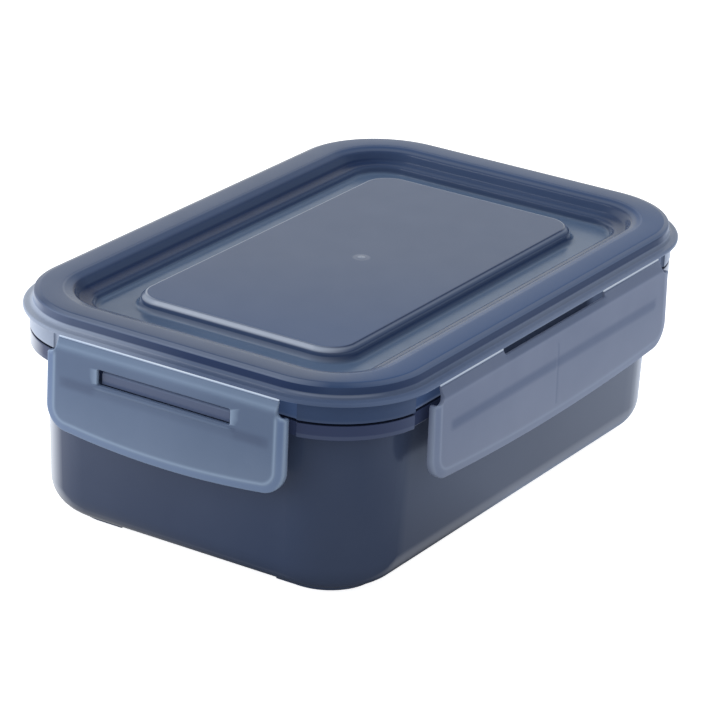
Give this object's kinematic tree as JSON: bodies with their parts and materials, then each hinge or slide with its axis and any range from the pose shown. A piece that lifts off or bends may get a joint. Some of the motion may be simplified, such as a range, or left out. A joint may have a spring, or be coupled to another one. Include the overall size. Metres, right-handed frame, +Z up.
{
  "type": "snap lid food container",
  "caption": "Rectangular food storage container: deep tub, sealed lid with a raised centre panel, and snap latches hinged along the lid's sides.",
  "frame": {"origin": "centre of the footprint, on the plane the feet rest on", "axes": "+X along the long sides, +Y along the short sides, +Z up through the lid"},
  "size_m": [0.2048, 0.14, 0.07],
  "materials": {
    "tub_plastic": "moulded polypropylene, navy, glossy, slightly translucent at thin edges",
    "lid_plastic": "moulded translucent blue polypropylene, satin gloss",
    "latch_plastic": "moulded translucent blue polypropylene, frosted",
    "web_plastic": "polypropylene whitened by bending",
    "seal_rubber": "translucent silicone, matt"
  },
  "bodies": {
    "tub": {"tub": "tub_plastic"},
    "lid": {"lid": "lid_plastic", "seal_ring": "seal_rubber", "left_hinge_web": "web_plastic", "right_hinge_web": "web_plastic", "front_hinge_web": "web_plastic", "back_hinge_web": "web_plastic"},
    "left_latch": {"left_latch": "latch_plastic"},
    "right_latch": {"right_latch": "latch_plastic"},
    "front_latch": {"front_latch": "latch_plastic"},
    "back_latch": {"back_latch": "latch_plastic"}
  },
  "joints": [
    {"name": "lid_lift", "type": "slide", "parent": "tub", "child": "lid", "axis": [0, 0, 1], "range_m": [0, 0.06]},
    {"name": "left_latch_hinge", "type": "hinge", "parent": "lid", "child": "left_latch", "pos_m": [-0.1, 0, 0.0644], "axis": [0, 1, 0], "range_deg": [-5, 125]},
    {"name": "right_latch_hinge", "type": "hinge", "parent": "lid", "child": "right_latch", "pos_m": [0.1, 0, 0.0644], "axis": [0, -1, 0], "range_deg": [-5, 125]},
    {"name": "front_latch_hinge", "type": "hinge", "parent": "lid", "child": "front_latch", "pos_m": [0, -0.0676, 0.0644], "axis": [-1, 0, 0], "range_deg": [-5, 125]},
    {"name": "back_latch_hinge", "type": "hinge", "parent": "lid", "child": "back_latch", "pos_m": [0, 0.0676, 0.0644], "axis": [1, 0, 0], "range_deg": [-5, 125]}
  ]
}
